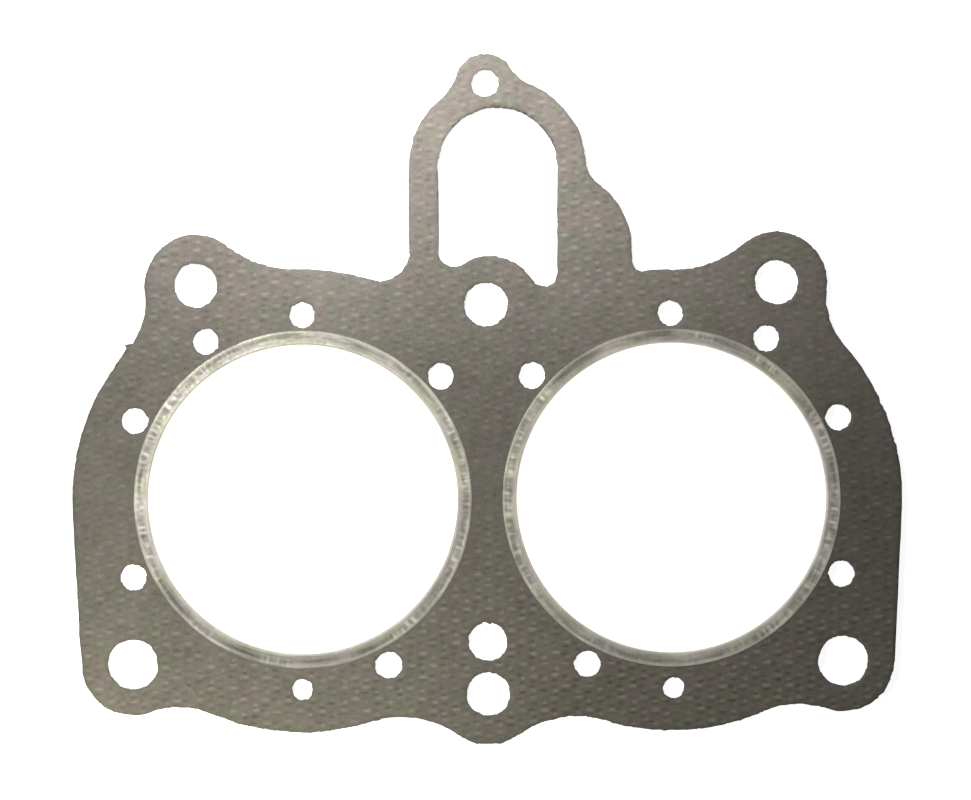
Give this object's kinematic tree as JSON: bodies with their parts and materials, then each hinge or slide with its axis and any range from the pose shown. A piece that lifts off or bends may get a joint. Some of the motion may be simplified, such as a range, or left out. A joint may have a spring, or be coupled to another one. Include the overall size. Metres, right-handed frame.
{
  "type": "cylinder head gasket",
  "caption": "Flat composite head gasket: soft facings on a tanged steel core, folded steel fire rings at the bores, stud and coolant holes, and an arch for the camshaft drive.",
  "frame": {"origin": "midway between the two bore axes, on the face that meets the cylinder block", "axes": "+X along the pair of bores, +Y towards the arch, +Z through the thickness to the cylinder head"},
  "size_m": [0.207, 0.1725, 0.0016],
  "materials": {
    "facing": "graphite and fibre facing, dull warm grey, with the core's tangs printed through it",
    "core_steel": "thin steel sheet, seen only at its cut edges",
    "ring_steel": "tinned steel strip, folded and crimped, satin"
  },
  "bodies": {
    "root": {"block_side_facing": "facing", "head_side_facing": "facing", "steel_core": "core_steel", "left_fire_ring": "ring_steel", "right_fire_ring": "ring_steel"}
  },
  "joints": []
}
